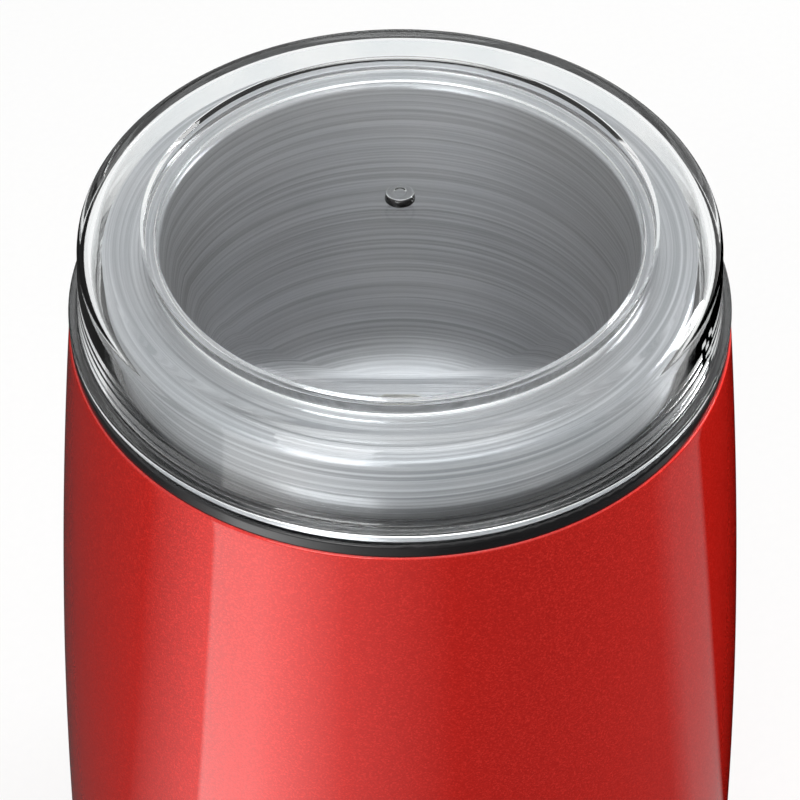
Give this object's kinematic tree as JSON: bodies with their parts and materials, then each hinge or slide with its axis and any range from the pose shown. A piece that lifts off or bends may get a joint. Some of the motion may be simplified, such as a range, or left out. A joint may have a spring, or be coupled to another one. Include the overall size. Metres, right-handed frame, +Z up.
{
  "type": "electric spice grinder",
  "caption": "Electric spice grinder: flared round housing, fixed steel bowl with a blade, clear lift-off lid with a safety tab, push button and motor inside.",
  "frame": {"origin": "bottom centre, on the plane that the rubber feet stand on", "axes": "+Z up along the housing's axis, -Y towards the start button"},
  "size_m": [0.1078, 0.1078, 0.1733],
  "materials": {
    "red_paint": "metallic red paint under clear lacquer",
    "black_plastic": "satin moulding",
    "bowl_steel": "circular brushed",
    "clear_plastic": "clear, polished",
    "blade_steel": "ground",
    "plated_steel": "zinc plated",
    "rubber": "matt",
    "cast_aluminium": "as cast",
    "lamination_steel": "stacked sheets, oiled",
    "copper": "enamelled wire and turned bars",
    "brass": "drawn",
    "carbon": "pressed graphite",
    "grey_plastic": "moulded",
    "white_plastic": "moulded",
    "fan_plastic": "moulded"
  },
  "bodies": {
    "housing": {"housing_shell": "red_paint", "collar_seat": "black_plastic", "grinding_bowl": "bowl_steel", "shaft_seal": "rubber", "motor_carrier": "grey_plastic", "carrier_screws": "plated_steel", "motor_screws": "plated_steel", "motor_dampers": "rubber", "upper_bearing": "plated_steel", "lower_bearing": "plated_steel", "upper_bracket": "cast_aluminium", "lower_bracket": "cast_aluminium", "stator_core": "lamination_steel", "field_coil_front": "copper", "field_coil_rear": "copper", "motor_bolts": "plated_steel", "motor_nuts": "plated_steel", "brush_holders": "brass", "carbon_brushes": "carbon", "brush_springs": "plated_steel", "lower_dampers": "rubber", "button_bezel": "black_plastic", "start_switch": "grey_plastic", "switch_screws": "plated_steel", "lid_switch": "grey_plastic", "capacitor": "grey_plastic", "terminal_block": "white_plastic", "terminal_screws": "brass", "cord_clamp": "black_plastic", "clamp_screws": "plated_steel", "cord_gland": "rubber", "base_cover": "black_plastic", "base_screws": "plated_steel", "rubber_feet": "rubber"},
    "lid": {"lid": "clear_plastic"},
    "rotor": {"blade": "blade_steel", "blade_hub": "black_plastic", "blade_washer": "plated_steel", "blade_nut": "plated_steel", "motor_shaft": "plated_steel", "armature_core": "lamination_steel", "armature_windings": "copper", "commutator": "copper", "cooling_fan": "fan_plastic"},
    "button": {"start_button": "black_plastic", "start_switch_plunger": "white_plastic"},
    "interlock": {"interlock_slider": "black_plastic", "lid_switch_plunger": "white_plastic", "interlock_spring": "plated_steel"}
  },
  "joints": [
    {"name": "lid_lift", "type": "slide", "parent": "housing", "child": "lid", "axis": [0, 0, 1], "range_m": [0, 0.06]},
    {"name": "rotor_spin", "type": "hinge", "parent": "housing", "child": "rotor", "pos_m": [0, 0, 0.08], "axis": [0, 0, 1], "continuous": true},
    {"name": "button_press", "type": "slide", "parent": "housing", "child": "button", "axis": [0, 1, 0], "range_m": [0, 0.0028], "stiffness_N_per_m": 400},
    {"name": "interlock_rise", "type": "slide", "parent": "housing", "child": "interlock", "axis": [0, 0, 1], "range_m": [0, 0.003], "deforming": ["interlock_spring"]}
  ],
  "couplings": [
    {"joint": "interlock_rise", "follows": "lid_lift", "ratio": 0.05}
  ]
}
